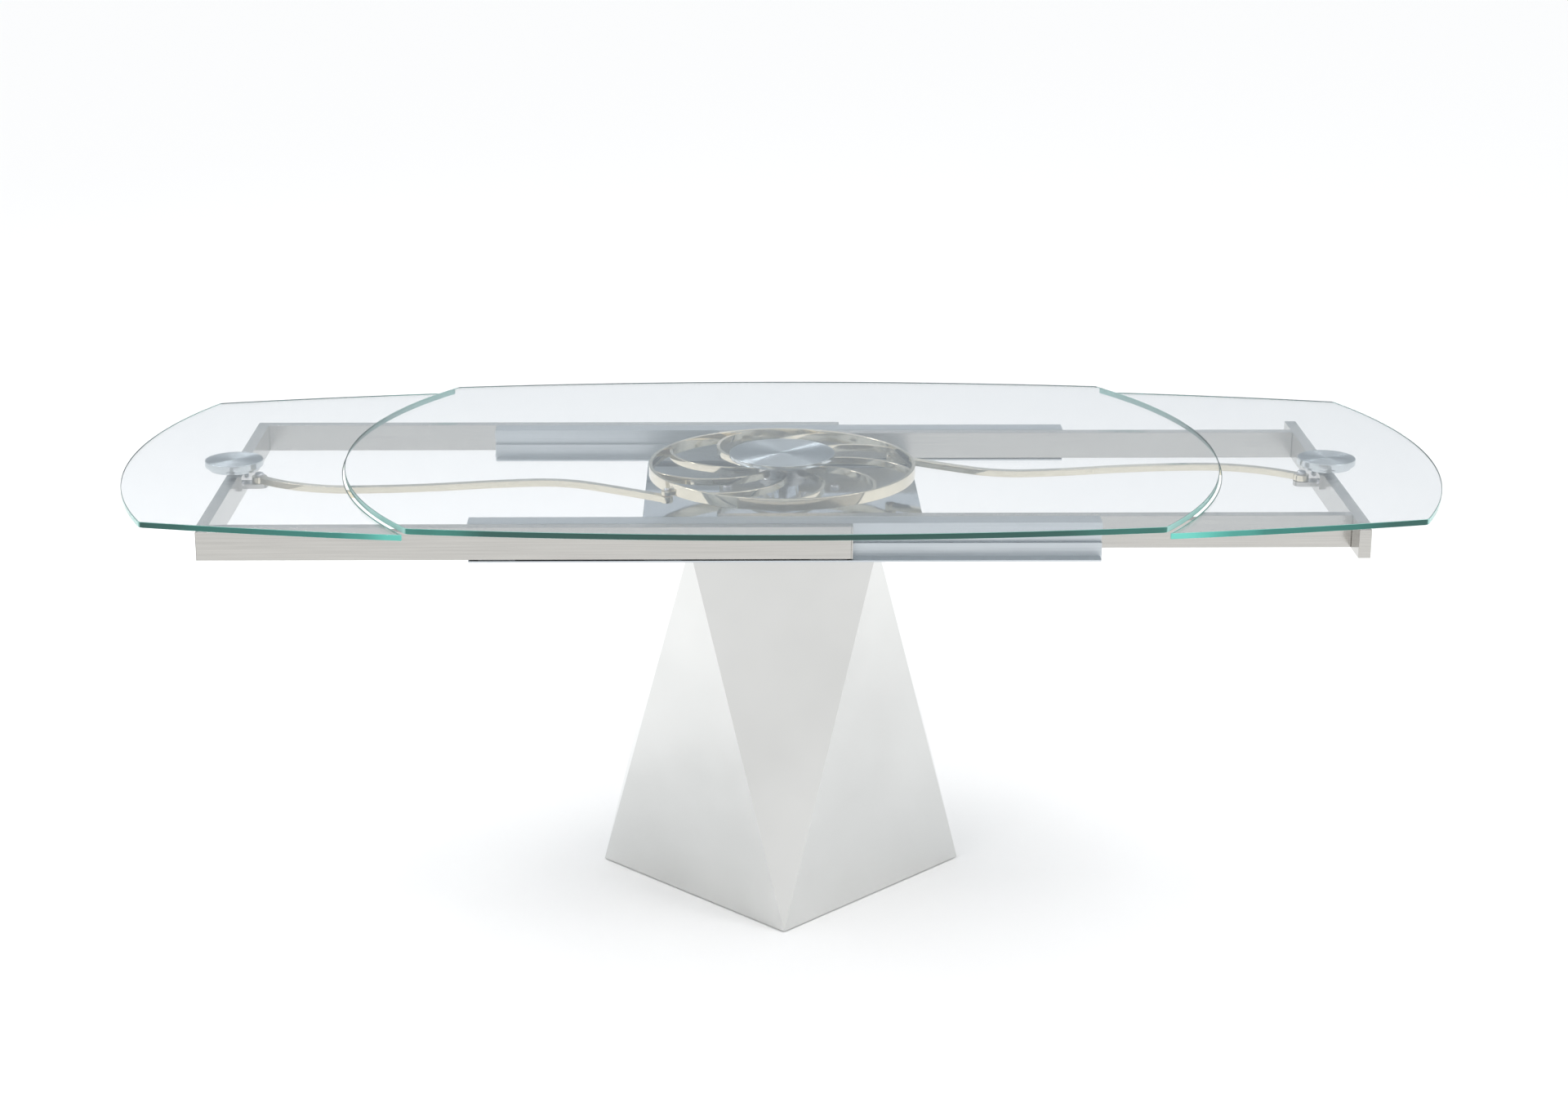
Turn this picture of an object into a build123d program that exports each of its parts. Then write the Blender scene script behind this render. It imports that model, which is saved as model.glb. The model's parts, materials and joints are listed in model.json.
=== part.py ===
from build123d import *
import math
import os

# Extendable dining table, modelled fully extended.
# Frame: origin on the floor under the middle of the table, +X along the
# table's length, +Y across it, +Z up. Millimetres.

# ---------------------------------------------------------------- table top
TABLE_LENGTH = 2250.0       # both leaves out
CLOSED_LENGTH = 1500.0      # both leaves under the centre pane
TABLE_WIDTH = 1000.0        # at the middle of the long edges
TABLE_HEIGHT = 765.0        # top of the centre pane
PANE = 10.0                 # glass thickness
SLIDE_GAP = 1.0             # air between the centre pane and a leaf under it
LEAF_CORNER = (1036.0, 385.0)
CENTRE_END_R = 790.0        # radius of the centre pane's convex ends
SEAM_GAP = 3.0              # between the centre pane's end and a leaf
GLASS_CORNER_R = 6.0
POLISHED_EDGE = 1.0

CENTRE_UNDER = TABLE_HEIGHT - PANE
LEAF_TOP = CENTRE_UNDER - SLIDE_GAP
LEAF_UNDER = LEAF_TOP - PANE


def radius_over(half_chord, rise):
    """Radius of the arc with this half chord and this rise."""
    return (half_chord ** 2 + rise ** 2) / (2 * rise)


LONG_EDGE_R = radius_over(LEAF_CORNER[0], TABLE_WIDTH / 2 - LEAF_CORNER[1])
LEAF_END_R = radius_over(LEAF_CORNER[1], TABLE_LENGTH / 2 - LEAF_CORNER[0])

# ------------------------------------------------------------ rails, frames
RAIL_LENGTH = 1032.0
RAIL_Y = 296.0              # rail centre line
WEB_W = 38.0
RAIL_BOTTOM = 664.0
TUBE_TOP = 721.0
TUBE_H = 48.0
TUBE_W = 20.0
TUBE_WALL = 2.0
TUBE_SIDE_GAP = 1.0         # tube to rail web
FLANGE_T = 2.5
FLANGE_W = 84.0
GLIDE_PAD_T = 1.0
PAD_AIR = 0.3               # under a tube, so that it slides freely
GROOVE_Z = 700.0            # centre of the runner grooves
GROOVE_H = 12.0
GROOVE_DEPTH = 8.0
RUNNER_H = 11.0
RUNNER_T = 8.0
RUNNER_LENGTH = 515.0
RUNNER_END = 95.0           # how far past the middle a runner reaches
CROSSBAR_OUTER = 957.0      # outer face of either crossbar
TUBE_END = 107.0            # how far past the middle a tube reaches
CAP_T = 3.0
SCREW_HEAD_H = 2.5

OUTER_TUBE_Y = RAIL_Y + WEB_W / 2 + TUBE_SIDE_GAP
INNER_TUBE_Y = RAIL_Y - WEB_W / 2 - TUBE_SIDE_GAP - TUBE_W
TUBE_BOTTOM = TUBE_TOP - TUBE_H
FRAME_HALF = OUTER_TUBE_Y + TUBE_W
FLANGE_TOP = TUBE_BOTTOM - PAD_AIR - GLIDE_PAD_T
END_SCREW_R = 1.5
END_SCREW_Z = (GROOVE_Z + 8.0, RAIL_BOTTOM + 5.0)
CAVITY_WALL = 5.0
CAVITIES = ((RAIL_BOTTOM + 10, GROOVE_Z - 10), (GROOVE_Z + 10, TUBE_TOP - 4))

# ----------------------------------------------------------------- pedestal
BASE_R = 318.7              # centre to a bottom corner
BASE_TOP = 640.0
BASE_TOP_HALF = BASE_R / 2
SHEET = 3.0
GLIDE_T = 2.0
FLOOR_PLATE_T = 10.0
PLATE_T = 5.0               # mounting plate
PLATE_HALF_X = 240.0
PLATE_HALF_Y = 296.0
NECK_HALF = 130.0
PLATE_BOTTOM = RAIL_BOTTOM - PLATE_T
NECK_BOLT_R = 5.0
NECK_BOLT_AT = 95.0         # from the middle, along X and along Y
RAIL_BOLT_R = 4.0
RAIL_BOLT_X = (70.0, 205.0)
COLUMN_BOLT_R = 3.0
COLUMN_BOLT_CIRCLE = 44.0
SCREW_AIR = 0.1             # radial, round a screw in its hole
FLOOR_GLIDE_R = 18.0
FLOOR_GLIDE_AT = 0.82 * BASE_R

# ------------------------------------------------------ column, wheel, rods
COLUMN_R = 29.0
COLUMN_WALL = 4.0
COLUMN_FLANGE_R = 56.0
COLUMN_FLANGE_T = 8.0
DISC_R = 91.5
DISC_T = 8.0
RING_R = 231.0
RING_T = 6.0
RING_TOP = 737.0
RING_H = 20.0
SPOKES = 9
SPOKE_START = 74.8          # degrees, first spoke at the hub
SPOKE_ARC_R = 118.0
SPOKE_T = 6.0
SPOKE_H = 12.0
HUB_R = 48.0
BUSH_T = 3.0
RUNNING = 0.05              # radial clearance of a shaft that turns
PIN_CIRCLE_R = 236.0        # rim pins
PIN_ANGLE = 213.4           # degrees, left rod's rim pin
PIVOT_X = 905.0             # end pivots of the rods
ROD_W = 14.0
ROD_H = 11.0
ROD_TOP = 714.0
ROD_PIN_R = 5.0
RIM_PIN_R = 4.0
RIM_PIN_AIR = 0.6           # between a rim pin's end and the rod
LUG_T = 6.0
LUG_R = 10.0
EYE_R = 13.0
ROD_BUSH_T = 2.0

ROD_BOTTOM = ROD_TOP - ROD_H
RING_BOTTOM = RING_TOP - RING_H
DISC_BOTTOM = CENTRE_UNDER - DISC_T
HUB_FLARE_H = 8.0
HUB_TOP = DISC_BOTTOM - HUB_FLARE_H - 2.0
HUB_BOTTOM = RING_BOTTOM - 1.0

# ------------------------------------------------- leaf discs and brackets
PAD_X = CROSSBAR_OUTER - TUBE_W / 2
PAD_R = 50.0
DISC_PLATE_T = 12.0
STEP_R = 43.0
STEP_T = 5.0
SPIGOT_R = 12.0
SPIGOT_FOOT_R = 16.0
SPIGOT_FOOT_T = 2.0
BRACKET_T = 6.0
BRACKET_SHELF_T = 8.0
BRACKET_HALF = 30.0
SHELF_END_R = 14.0
SHELF_TOP = ROD_BOTTOM - 0.5

os.makedirs("parts", exist_ok=True)
written = []


def save(node, *solids):
    """Write one node; a group keeps its solids apart."""
    part = solids[0] if len(solids) == 1 else Compound(children=list(solids))
    export_step(part, f"parts/{node}.step")
    written.append(node)


def block(x0, x1, y0, y1, z0, z1):
    low = (min(x0, x1), min(y0, y1), z0)
    return Pos(*low) * Box(abs(x1 - x0), abs(y1 - y0), z1 - z0, align=(Align.MIN,) * 3)


def rod_z(x, y, r, z0, z1):
    """Upright cylinder."""
    return Pos(x, y, z0) * Cylinder(r, z1 - z0, align=(Align.CENTER, Align.CENTER, Align.MIN))


def rod_x(x0, x1, y, z, r):
    """Cylinder along X."""
    return Pos((x0 + x1) / 2, y, z) * Rot(0, 90, 0) * Cylinder(r, abs(x1 - x0))


def solid_of(shape):
    return shape.solids()[0]


def half_turn(shape):
    return Rot(0, 0, 180) * shape


def around(radius, count, first_degrees):
    """Evenly spaced places on a circle about the Z axis."""
    angles = [math.radians(first_degrees + k * 360 / count) for k in range(count)]
    return [(radius * math.cos(a), radius * math.sin(a)) for a in angles]


def grooves(y, x0, x1):
    """The two runner grooves in the sides of the rail section at y."""
    z0, z1 = GROOVE_Z - GROOVE_H / 2, GROOVE_Z + GROOVE_H / 2
    floor = WEB_W / 2 - GROOVE_DEPTH
    rear = block(x0, x1, y + floor, y + WEB_W / 2, z0, z1)
    return rear + block(x0, x1, y - WEB_W / 2, y - floor, z0, z1)


def screw(x, y, z_head, shank_r, head_r, head_h, shank_len, up):
    """Socket-head screw with its head seat at z_head; up = +1 or -1 for the head's side."""
    head = rod_z(x, y, head_r, min(z_head, z_head + up * head_h), max(z_head, z_head + up * head_h))
    head = fillet(head.edges().filter_by(GeomType.CIRCLE).sort_by(Axis.Z)[-1 if up > 0 else 0], head_h * 0.3)
    low, high = sorted((z_head, z_head - up * shank_len))
    socket_top = z_head + up * head_h
    socket_z = sorted((socket_top, socket_top - up * head_h * 0.55))
    socket = Pos(x, y, socket_z[0]) * extrude(RegularPolygon(head_r * 0.5, 6), socket_z[1] - socket_z[0])
    return solid_of(head + rod_z(x, y, shank_r, low, high) - socket)


# ------------------------------------------------------------------- glass
def long_edges():
    """Plan region between the two long curved edges."""
    offset_y = LONG_EDGE_R - TABLE_WIDTH / 2
    return Pos(0, -offset_y) * Circle(LONG_EDGE_R) & Pos(0, offset_y) * Circle(LONG_EDGE_R)


def end_circle(apex_x, radius, side):
    """Plan disc whose outermost point is on the X axis at side * apex_x."""
    return Pos(side * (apex_x - radius), 0) * Circle(radius)


def pane(plan, under):
    plan = fillet(plan.vertices(), GLASS_CORNER_R)
    slab = Pos(0, 0, under) * extrude(plan, PANE)
    rims = slab.edges().filter_by_position(Axis.Z, under, under) + \
        slab.edges().filter_by_position(Axis.Z, under + PANE, under + PANE)
    return solid_of(chamfer(rims, POLISHED_EDGE))


half_closed = CLOSED_LENGTH / 2
centre_plan = long_edges()
for end in (-1, 1):
    centre_plan &= end_circle(half_closed, CENTRE_END_R, end)
leaf_plan = long_edges() & end_circle(TABLE_LENGTH / 2, LEAF_END_R, -1)
leaf_plan &= Pos(-TABLE_LENGTH / 2, 0) * Rectangle(TABLE_LENGTH, 2 * TABLE_WIDTH)
leaf_plan -= end_circle(half_closed + SEAM_GAP, CENTRE_END_R + SEAM_GAP, -1)

save("centre_glass", pane(centre_plan, CENTRE_UNDER))
left_leaf = pane(leaf_plan, LEAF_UNDER)
save("left_leaf_glass", left_leaf)
save("right_leaf_glass", half_turn(left_leaf))


# ---------------------------------------------------------------- pedestal
def faceted(corner_r, side_inset, z0, z1):
    """Square column turned 45 degrees, cut by an upright square taper."""
    column = Pos(0, 0, z0) * extrude(Rot(0, 0, 45) * Rectangle(*(corner_r * math.sqrt(2),) * 2), z1 - z0)
    low = Pos(0, 0, GLIDE_T) * Rectangle(*(2 * (BASE_R - side_inset),) * 2)
    high = Pos(0, 0, BASE_TOP) * Rectangle(*(2 * (BASE_TOP_HALF - side_inset),) * 2)
    return column & loft([low, high])


lean = math.atan((BASE_R - BASE_TOP_HALF) / (BASE_TOP - GLIDE_T))
inner = faceted(BASE_R - SHEET * math.sqrt(2), SHEET / math.cos(lean), GLIDE_T, BASE_TOP - SHEET)
NECK_BOLTS = [(sx * NECK_BOLT_AT, sy * NECK_BOLT_AT) for sx in (-1, 1) for sy in (-1, 1)]
shell = faceted(BASE_R, 0, GLIDE_T, BASE_TOP) - inner
for x, y in NECK_BOLTS:
    shell -= rod_z(x, y, NECK_BOLT_R + SCREW_AIR, BASE_TOP - 2 * SHEET, BASE_TOP + 1)
save("base_shell", solid_of(shell))

ballast_half = BASE_R - SHEET * math.sqrt(2) - 3.0
ballast = faceted(ballast_half, SHEET / math.cos(lean) + 2.0, GLIDE_T, GLIDE_T + FLOOR_PLATE_T)
GLIDE_SPOTS = around(FLOOR_GLIDE_AT, 4, 0)
save("base_floor_plate", solid_of(ballast))
save("floor_glides", *[rod_z(x, y, FLOOR_GLIDE_R, 0, GLIDE_T) for x, y in GLIDE_SPOTS])

neck = block(-NECK_HALF, NECK_HALF, -NECK_HALF, NECK_HALF, BASE_TOP, PLATE_BOTTOM)
neck = chamfer(neck.edges().filter_by(Axis.Z), 12.0)
plate = block(-PLATE_HALF_X, PLATE_HALF_X, -PLATE_HALF_Y, PLATE_HALF_Y, PLATE_BOTTOM, RAIL_BOTTOM)
plate = fillet(plate.edges().filter_by(Axis.Z), 4.0)
RAIL_BOLTS = [(sx * x, sy * (RAIL_Y - 10.0)) for x in RAIL_BOLT_X for sx in (-1, 1) for sy in (-1, 1)]
COLUMN_BOLTS = around(COLUMN_BOLT_CIRCLE, 6, 30)
for x, y in NECK_BOLTS:
    neck -= rod_z(x, y, NECK_BOLT_R + SCREW_AIR, BASE_TOP - 1, PLATE_BOTTOM + 1)
    plate -= rod_z(x, y, NECK_BOLT_R + SCREW_AIR, PLATE_BOTTOM - 1, RAIL_BOTTOM + 1)
for x, y in COLUMN_BOLTS:
    neck -= rod_z(x, y, COLUMN_BOLT_R + SCREW_AIR, PLATE_BOTTOM - 12.0, PLATE_BOTTOM + 1)
    plate -= rod_z(x, y, COLUMN_BOLT_R + SCREW_AIR, PLATE_BOTTOM - 1, RAIL_BOTTOM + 1)
for x, y in RAIL_BOLTS:
    plate -= rod_z(x, y, RAIL_BOLT_R + SCREW_AIR, PLATE_BOTTOM - 1, RAIL_BOTTOM + 1)
save("neck_block", solid_of(neck))
save("mounting_plate", solid_of(plate))
save("neck_bolts", *[screw(x, y, RAIL_BOTTOM, NECK_BOLT_R, 8.0, 4.0, 26.0, 1) for x, y in NECK_BOLTS])


# ------------------------------------------------------------------- rails
def rail(side):
    y = side * RAIL_Y
    half = RAIL_LENGTH / 2
    beam = block(-half, half, y - WEB_W / 2, y + WEB_W / 2, RAIL_BOTTOM, TUBE_TOP)
    beam += block(-half, half, y - FLANGE_W / 2, y + FLANGE_W / 2, FLANGE_TOP - FLANGE_T, FLANGE_TOP)
    beam -= grooves(y, -half, half)
    core = WEB_W / 2 - CAVITY_WALL
    for z0, z1 in CAVITIES:
        beam -= block(-half, half, y - core, y + core, z0, z1)
    for x, by in RAIL_BOLTS:
        if by * side > 0:
            beam -= rod_z(x, by, RAIL_BOLT_R + SCREW_AIR, RAIL_BOTTOM - 1, RAIL_BOTTOM + 9)
    for x in (-half, half):
        for z in END_SCREW_Z:
            beam -= rod_x(x - 14, x + 14, y, z, END_SCREW_R + SCREW_AIR)
    return solid_of(beam)


def rail_end_cap(side, end):
    y = side * RAIL_Y
    x0 = end * RAIL_LENGTH / 2
    x1 = end * (RAIL_LENGTH / 2 + CAP_T)
    cap = block(x0, x1, y - WEB_W / 2, y + WEB_W / 2, RAIL_BOTTOM, TUBE_TOP)
    cap -= grooves(y, x0, x1)
    for z in END_SCREW_Z:
        cap -= rod_x(x0 - end, x1 + end, y, z, END_SCREW_R + SCREW_AIR)
    return solid_of(cap)


def end_screw(side, end, z):
    y = side * RAIL_Y
    face = end * (RAIL_LENGTH / 2 + CAP_T)
    head = rod_x(face, face + end * SCREW_HEAD_H, y, z, 2 * END_SCREW_R)
    shank = rod_x(face, face - end * 12.0, y, z, END_SCREW_R)
    slot = block(face + end, face + end * (SCREW_HEAD_H + 1), y - 0.4, y + 0.4, z - 3.5, z + 3.5)
    return solid_of(head + shank - slot)


save("front_rail", rail(-1))
save("rear_rail", rail(1))
save("rail_end_caps", *[rail_end_cap(s, e) for s in (-1, 1) for e in (-1, 1)])
save("rail_end_screws", *[end_screw(s, e, z) for s in (-1, 1) for e in (-1, 1) for z in END_SCREW_Z])
save("rail_bolts", *[screw(x, y, PLATE_BOTTOM, RAIL_BOLT_R, 7.0, 4.0, 12.0, -1) for x, y in RAIL_BOLTS])

GLIDE_PAD_LENGTH = 60.0
GLIDE_PAD_X = (-470.0, -200.0, 70.0)     # under an outer tube at every travel; inner tubes mirror them


def glide_pad(x, side, tube_y):
    y0 = side * (tube_y + TUBE_WALL)
    y1 = side * (tube_y + TUBE_W - TUBE_WALL)
    half = GLIDE_PAD_LENGTH / 2
    return block(x - half, x + half, y0, y1, FLANGE_TOP, FLANGE_TOP + GLIDE_PAD_T)


glide_pads = [glide_pad(x, side, OUTER_TUBE_Y) for side in (-1, 1) for x in GLIDE_PAD_X]
glide_pads += [glide_pad(-x, side, INNER_TUBE_Y) for side in (-1, 1) for x in GLIDE_PAD_X]
save("glide_pads", *glide_pads)


# ------------------------------------------------------------------ frames
def hollow_x(x0, x1, y0, y1):
    """Rectangular tube along X."""
    outer = block(x0, x1, y0, y1, TUBE_BOTTOM, TUBE_TOP)
    low, high = min(y0, y1), max(y0, y1)
    return outer - block(x0 - 1, x1 + 1, low + TUBE_WALL, high - TUBE_WALL,
                         TUBE_BOTTOM + TUBE_WALL, TUBE_TOP - TUBE_WALL)


def hollow_y(x0, x1, y0, y1):
    """Rectangular tube along Y."""
    outer = block(x0, x1, y0, y1, TUBE_BOTTOM, TUBE_TOP)
    low, high = min(x0, x1), max(x0, x1)
    return outer - block(low + TUBE_WALL, high - TUBE_WALL, y0 - 1, y1 + 1,
                         TUBE_BOTTOM + TUBE_WALL, TUBE_TOP - TUBE_WALL)


def mitre_wedge(side):
    """Triangle at a left corner: the crossbar's share of the 45 degree joint."""
    outer = (-CROSSBAR_OUTER, side * FRAME_HALF)
    inner = (-CROSSBAR_OUTER + TUBE_W, side * (FRAME_HALF - TUBE_W))
    below = (-CROSSBAR_OUTER, side * (FRAME_HALF - TUBE_W))
    corner = make_face(Polyline(outer, inner, below, close=True))
    return Pos(0, 0, TUBE_BOTTOM - 1) * extrude(corner, TUBE_H + 2)


def outer_tube(side):
    tube = hollow_x(-CROSSBAR_OUTER, TUBE_END, side * OUTER_TUBE_Y, side * FRAME_HALF)
    return solid_of(tube - mitre_wedge(side))


def left_crossbar():
    bar = hollow_y(-CROSSBAR_OUTER, -CROSSBAR_OUTER + TUBE_W, -FRAME_HALF, FRAME_HALF)
    middle = block(-CROSSBAR_OUTER, -CROSSBAR_OUTER + TUBE_W, -OUTER_TUBE_Y, OUTER_TUBE_Y,
                   TUBE_BOTTOM - 1, TUBE_TOP + 1)
    keep = middle + mitre_wedge(-1) + mitre_wedge(1)
    return solid_of((bar & keep) - bracket_screw_holes())


def inner_tube(side):
    return solid_of(hollow_x(-TUBE_END, CROSSBAR_OUTER - TUBE_W, side * INNER_TUBE_Y,
                             side * (INNER_TUBE_Y + TUBE_W)))


def right_crossbar():
    half = FRAME_HALF - CAP_T
    bar = hollow_y(CROSSBAR_OUTER - TUBE_W, CROSSBAR_OUTER, -half, half)
    return solid_of(bar - half_turn(bracket_screw_holes()))


def runner(end_x, tube_face, side, direction):
    """Nylon strip on a tube's rail side, running in the rail's groove."""
    y0 = side * tube_face
    y1 = side * (tube_face + direction * RUNNER_T)
    far_x = end_x - math.copysign(RUNNER_LENGTH, end_x)
    return block(end_x, far_x, y0, y1, GROOVE_Z - RUNNER_H / 2, GROOVE_Z + RUNNER_H / 2)


PLUG_STUB = 10.0


def tube_plug(x, y_centre, direction):
    """Steel end cap of a tube along X, with a stub that fits inside it."""
    face = block(x, x + direction * CAP_T, y_centre - TUBE_W / 2, y_centre + TUBE_W / 2,
                 TUBE_BOTTOM, TUBE_TOP)
    half = TUBE_W / 2 - TUBE_WALL
    stub = block(x, x - direction * PLUG_STUB, y_centre - half, y_centre + half,
                 TUBE_BOTTOM + TUBE_WALL, TUBE_TOP - TUBE_WALL)
    return solid_of(face + stub)


def crossbar_plug(side):
    x = CROSSBAR_OUTER - TUBE_W / 2
    y = side * (FRAME_HALF - CAP_T)
    half = TUBE_W / 2
    face = block(x - half, x + half, y, y + side * CAP_T, TUBE_BOTTOM, TUBE_TOP)
    stub = block(x - half + TUBE_WALL, x + half - TUBE_WALL, y, y - side * PLUG_STUB,
                 TUBE_BOTTOM + TUBE_WALL, TUBE_TOP - TUBE_WALL)
    return solid_of(face + stub)


BRACKET_SCREW_Y = 24.0
BRACKET_SCREW_Z = TUBE_TOP - 13.0
BRACKET_SCREW_R = 3.0


def bracket_screw_holes():
    inner_face = -CROSSBAR_OUTER + TUBE_W
    holes = [rod_x(inner_face - 3, inner_face + BRACKET_T + 1, s * BRACKET_SCREW_Y, BRACKET_SCREW_Z,
                   BRACKET_SCREW_R + SCREW_AIR) for s in (-1, 1)]
    return holes[0] + holes[1]


def bracket():
    """Angle bracket on the left crossbar: a rounded shelf under the rod's eye."""
    face = -CROSSBAR_OUTER + TUBE_W
    upright = block(face, face + BRACKET_T, -BRACKET_HALF, BRACKET_HALF,
                    SHELF_TOP - BRACKET_SHELF_T, TUBE_TOP - 1.0)
    shelf = block(face, -PIVOT_X, -SHELF_END_R, SHELF_END_R, SHELF_TOP - BRACKET_SHELF_T, SHELF_TOP)
    shelf += rod_z(-PIVOT_X, 0, SHELF_END_R, SHELF_TOP - BRACKET_SHELF_T, SHELF_TOP)
    body = upright + shelf - rod_z(-PIVOT_X, 0, ROD_PIN_R, 0, TABLE_HEIGHT) - bracket_screw_holes()
    return solid_of(body)


def bracket_screw(side):
    face = -CROSSBAR_OUTER + TUBE_W + BRACKET_T
    y = side * BRACKET_SCREW_Y
    head = rod_x(face, face + 4, y, BRACKET_SCREW_Z, 5.0)
    shank = rod_x(face, face - BRACKET_T - 2.0, y, BRACKET_SCREW_Z, BRACKET_SCREW_R)
    socket = Pos(face + 2.0, y, BRACKET_SCREW_Z) * Rot(0, 90, 0) * extrude(RegularPolygon(2.5, 6), 3)
    return solid_of(head + shank - socket)


def pivot_pin():
    """Shoulder pin pressed in the shelf, with a domed cap over the rod's eye."""
    cap_z = ROD_TOP + 0.5
    cap = rod_z(-PIVOT_X, 0, 8.0, cap_z, cap_z + 6.0)
    cap = fillet(cap.edges().filter_by(GeomType.CIRCLE).sort_by(Axis.Z)[-1], 4.0)
    return solid_of(cap + rod_z(-PIVOT_X, 0, ROD_PIN_R, SHELF_TOP - BRACKET_SHELF_T, cap_z))


def leaf_disc():
    disc = rod_z(-PAD_X, 0, PAD_R, LEAF_UNDER - DISC_PLATE_T, LEAF_UNDER)
    return solid_of(chamfer(disc.edges().filter_by(GeomType.CIRCLE).sort_by(Axis.Z)[0], 2.0))


def leaf_disc_step():
    """Turned step under the disc, on a spigot that stands on the crossbar."""
    step_top = LEAF_UNDER - DISC_PLATE_T
    step = rod_z(-PAD_X, 0, STEP_R, step_top - STEP_T, step_top)
    step += rod_z(-PAD_X, 0, SPIGOT_R, TUBE_TOP, step_top - STEP_T)
    step += rod_z(-PAD_X, 0, SPIGOT_FOOT_R, TUBE_TOP, TUBE_TOP + SPIGOT_FOOT_T)
    return solid_of(step)


for name, turn in (("left", lambda s: s), ("right", half_turn)):
    save(f"{name}_disc", turn(leaf_disc()))
    save(f"{name}_disc_step", turn(leaf_disc_step()))
    save(f"{name}_bracket", turn(bracket()))
    save(f"{name}_bracket_screws", turn(bracket_screw(-1)), turn(bracket_screw(1)))
    save(f"{name}_pivot_pin", turn(pivot_pin()))

save("left_front_tube", outer_tube(-1))
save("left_rear_tube", outer_tube(1))
save("left_crossbar", left_crossbar())
save("left_runners", *[runner(RUNNER_END, OUTER_TUBE_Y, s, -1) for s in (-1, 1)])
save("left_tube_plugs", *[tube_plug(TUBE_END, s * (OUTER_TUBE_Y + TUBE_W / 2), 1) for s in (-1, 1)])
save("right_front_tube", inner_tube(-1))
save("right_rear_tube", inner_tube(1))
save("right_crossbar", right_crossbar())
save("right_runners", *[runner(-RUNNER_END, INNER_TUBE_Y + TUBE_W, s, 1) for s in (-1, 1)])
plugs = [tube_plug(-TUBE_END, s * (INNER_TUBE_Y + TUBE_W / 2), -1) for s in (-1, 1)]
save("right_tube_plugs", *(plugs + [crossbar_plug(s) for s in (-1, 1)]))

# ------------------------------------------------------- column and its disc
column = rod_z(0, 0, COLUMN_R, RAIL_BOTTOM, DISC_BOTTOM)
column += rod_z(0, 0, COLUMN_FLANGE_R, RAIL_BOTTOM, RAIL_BOTTOM + COLUMN_FLANGE_T)
column -= rod_z(0, 0, COLUMN_R - COLUMN_WALL, RAIL_BOTTOM, DISC_BOTTOM)
flange_top = RAIL_BOTTOM + COLUMN_FLANGE_T
for x, y in COLUMN_BOLTS:
    column -= rod_z(x, y, COLUMN_BOLT_R + SCREW_AIR, RAIL_BOTTOM - 1, flange_top + 1)
save("column", solid_of(column))
save("column_bolts", *[screw(x, y, flange_top, COLUMN_BOLT_R, 5.5, 5.0, 24.0, 1) for x, y in COLUMN_BOLTS])

flare_low = DISC_BOTTOM - HUB_FLARE_H
FLARE_R = 62.0
FLARE_SCREW_R = 2.5
FLARE_SCREWS = around(48.0, 6, 0)
flare_plan = Polyline((COLUMN_R, flare_low), (COLUMN_R + 6, flare_low), (FLARE_R, DISC_BOTTOM - 4),
                      (FLARE_R, DISC_BOTTOM), (COLUMN_R, DISC_BOTTOM), close=True)
flare = revolve(Plane.XZ * make_face(flare_plan), Axis.Z)
disc = rod_z(0, 0, DISC_R, DISC_BOTTOM, CENTRE_UNDER)
disc = chamfer(disc.edges().filter_by(GeomType.CIRCLE).sort_by(Axis.Z)[0], 1.5)
FLARE_SEAT = DISC_BOTTOM - 4.5
for x, y in FLARE_SCREWS:
    flare -= rod_z(x, y, FLARE_SCREW_R + SCREW_AIR, flare_low - 1, DISC_BOTTOM + 1)
    flare -= rod_z(x, y, 2 * FLARE_SCREW_R, flare_low - 1, FLARE_SEAT)
    disc -= rod_z(x, y, FLARE_SCREW_R + SCREW_AIR, DISC_BOTTOM - 1, DISC_BOTTOM + 5)
save("column_flare", solid_of(flare))
save("centre_disc", solid_of(disc))
save("flare_screws", *[screw(x, y, FLARE_SEAT, FLARE_SCREW_R, 4.5, 3.0, 8.5, -1) for x, y in FLARE_SCREWS])

COLLAR_TOP = HUB_BOTTOM - 0.3
collar = rod_z(0, 0, COLUMN_R + 11, COLLAR_TOP - 12, COLLAR_TOP) - rod_z(0, 0, COLUMN_R, 0, TABLE_HEIGHT)
save("thrust_collar", solid_of(collar))

# ------------------------------------------------------------------- wheel
ring = rod_z(0, 0, RING_R, RING_BOTTOM, RING_TOP) - rod_z(0, 0, RING_R - RING_T, RING_BOTTOM, RING_TOP)
save("wheel_ring", solid_of(ring))
bush_r = COLUMN_R + RUNNING + BUSH_T
hub = rod_z(0, 0, HUB_R, HUB_BOTTOM, HUB_TOP)
hub = chamfer(hub.edges().filter_by(GeomType.CIRCLE), 2.0) - rod_z(0, 0, bush_r, 0, TABLE_HEIGHT)
bush = rod_z(0, 0, bush_r, HUB_BOTTOM, HUB_TOP) - rod_z(0, 0, COLUMN_R + RUNNING, 0, TABLE_HEIGHT)
save("wheel_hub", solid_of(hub))
save("hub_bush", solid_of(bush))

SPOKE_MID = (RING_TOP + RING_BOTTOM) / 2


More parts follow.
